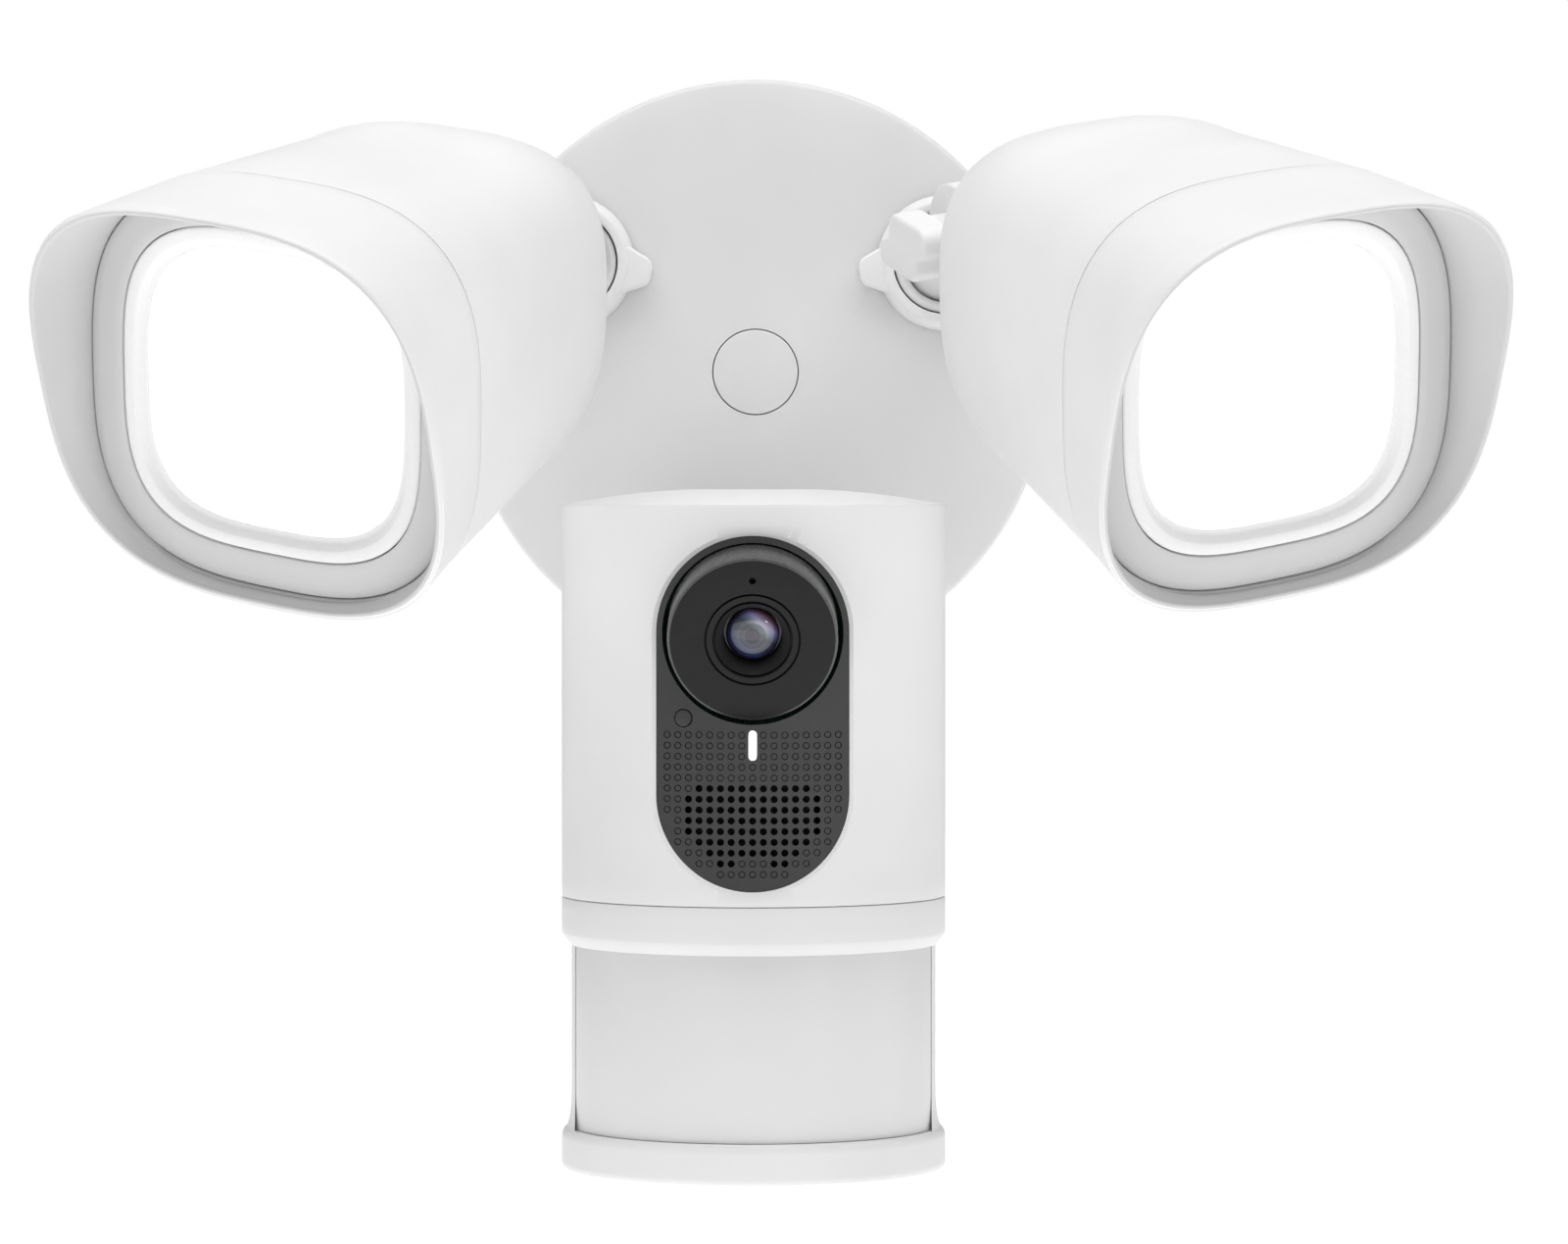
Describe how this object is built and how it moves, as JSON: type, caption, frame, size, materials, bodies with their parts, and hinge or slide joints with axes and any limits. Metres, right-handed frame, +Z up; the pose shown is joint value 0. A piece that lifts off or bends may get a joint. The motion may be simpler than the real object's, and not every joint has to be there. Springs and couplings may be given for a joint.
{
  "type": "floodlight security camera",
  "caption": "Wall-mounted security camera with round base, adjustable hooded floodlights and an elliptical camera head with motion sensor, each on a ball and knuckle arm.",
  "frame": {"origin": "centre of the round base, on the wall plane", "axes": "+Z up the wall, -Y straight out from the wall, +X to the right for someone facing the device"},
  "size_m": [0.2824, 0.1839, 0.2277],
  "materials": {
    "white_plastic": "satin, finely textured",
    "base_plastic": "satin, finely textured",
    "diffuser": "frosted, lit",
    "milky_window": "milky, satin",
    "dark_panel": "satin",
    "inner_plastic": "matt",
    "status_light": "lit white",
    "lens_glass": "coated, polished",
    "steel": "zinc plated",
    "aluminium": "die cast",
    "reflector": "vacuum metallised",
    "rubber": "matt",
    "circuit_board": "solder mask",
    "led_board": "white solder mask"
  },
  "bodies": {
    "base": {"base_housing": "base_plastic", "base_back_cover": "inner_plastic", "wall_gasket": "rubber", "mounting_bracket": "steel", "bracket_screw_left": "steel", "bracket_screw_right": "steel", "centre_bolt": "steel", "bolt_cap": "base_plastic", "driver_board": "circuit_board", "driver_transformer": "inner_plastic", "terminal_block": "inner_plastic", "ball_seat_left": "base_plastic", "ball_seat_right": "base_plastic", "ball_seat_camera": "base_plastic"},
    "stem_left": {"ball_stem_left": "white_plastic"},
    "lamp_left": {"lamp_housing_left": "white_plastic", "visor_left": "white_plastic", "bezel_left": "white_plastic", "diffuser_left": "diffuser", "lens_gasket_left": "rubber", "reflector_left": "reflector", "led_board_left": "led_board", "heat_sink_left": "aluminium", "knuckle_bolt_left": "steel"},
    "ring_left": {"lock_ring_left": "white_plastic"},
    "knob_left": {"wing_knob_left": "white_plastic"},
    "stem_right": {"ball_stem_right": "white_plastic"},
    "lamp_right": {"lamp_housing_right": "white_plastic", "visor_right": "white_plastic", "bezel_right": "white_plastic", "diffuser_right": "diffuser", "lens_gasket_right": "rubber", "reflector_right": "reflector", "led_board_right": "led_board", "heat_sink_right": "aluminium", "knuckle_bolt_right": "steel"},
    "ring_right": {"lock_ring_right": "white_plastic"},
    "knob_right": {"wing_knob_right": "white_plastic"},
    "stem_camera": {"ball_stem_camera": "white_plastic"},
    "camera_head": {"camera_shell": "white_plastic", "face_panel": "dark_panel", "status_light": "status_light", "light_sensor_window": "dark_panel", "lens_turret": "dark_panel", "lens_barrel": "dark_panel", "lens_glass": "lens_glass", "image_sensor_board": "circuit_board", "image_sensor": "aluminium", "main_board": "circuit_board", "speaker": "inner_plastic", "motion_sensor_board": "circuit_board", "motion_sensor_left": "steel", "motion_sensor_right": "steel", "lower_frame": "white_plastic", "motion_sensor_window": "milky_window", "knuckle_bolt_camera": "steel"},
    "ring_camera": {"lock_ring_camera": "white_plastic"},
    "knob_camera": {"wing_knob_camera": "white_plastic"},
    "button": {"sync_button": "inner_plastic"}
  },
  "joints": [
    {"name": "swivel_left", "type": "hinge", "parent": "base", "child": "stem_left", "pos_m": [-0.04114, -0.014, 0.02375], "axis": [-0.331, -0.9247, 0.188], "range_deg": [-40, 40]},
    {"name": "tilt_left", "type": "hinge", "parent": "stem_left", "child": "lamp_left", "pos_m": [-0.05024, -0.03943, 0.02892], "axis": [0.9157, -0.3629, -0.1727], "range_deg": [-60, 12]},
    {"name": "lock_ring_turn_left", "type": "hinge", "parent": "base", "child": "ring_left", "pos_m": [-0.04114, -0.014, 0.02375], "axis": [0, -1, 0], "range_deg": [-60, 60]},
    {"name": "wing_knob_turn_left", "type": "hinge", "parent": "lamp_left", "child": "knob_left", "pos_m": [-0.05024, -0.03943, 0.02892], "axis": [0.9157, -0.3629, -0.1727], "continuous": true},
    {"name": "swivel_right", "type": "hinge", "parent": "base", "child": "stem_right", "pos_m": [0.04114, -0.014, 0.02375], "axis": [0.331, -0.9247, 0.188], "range_deg": [-40, 40]},
    {"name": "tilt_right", "type": "hinge", "parent": "stem_right", "child": "lamp_right", "pos_m": [0.05024, -0.03943, 0.02892], "axis": [0.9157, 0.3629, 0.1727], "range_deg": [-60, 12]},
    {"name": "lock_ring_turn_right", "type": "hinge", "parent": "base", "child": "ring_right", "pos_m": [0.04114, -0.014, 0.02375], "axis": [0, -1, 0], "range_deg": [-60, 60]},
    {"name": "wing_knob_turn_right", "type": "hinge", "parent": "lamp_right", "child": "knob_right", "pos_m": [0.05024, -0.03943, 0.02892], "axis": [0.9157, 0.3629, 0.1727], "continuous": true},
    {"name": "pan_camera", "type": "hinge", "parent": "base", "child": "stem_camera", "pos_m": [0, -0.014, -0.0475], "axis": [0, 0, 1], "range_deg": [-8, 8]},
    {"name": "tilt_camera", "type": "hinge", "parent": "stem_camera", "child": "camera_head", "pos_m": [0, -0.03933, -0.0368], "axis": [1, 0, 0], "range_deg": [-15, 15]},
    {"name": "lock_ring_turn_camera", "type": "hinge", "parent": "base", "child": "ring_camera", "pos_m": [0, -0.014, -0.0475], "axis": [0, -1, 0], "range_deg": [-60, 60]},
    {"name": "wing_knob_turn_camera", "type": "hinge", "parent": "camera_head", "child": "knob_camera", "pos_m": [0, -0.03933, -0.0368], "axis": [1, 0, 0], "continuous": true},
    {"name": "sync_button_press", "type": "slide", "parent": "camera_head", "child": "button", "axis": [0, 0, 1], "range_m": [0, 0.0006], "stiffness_N_per_m": 300, "springref_m": -0.0006}
  ]
}
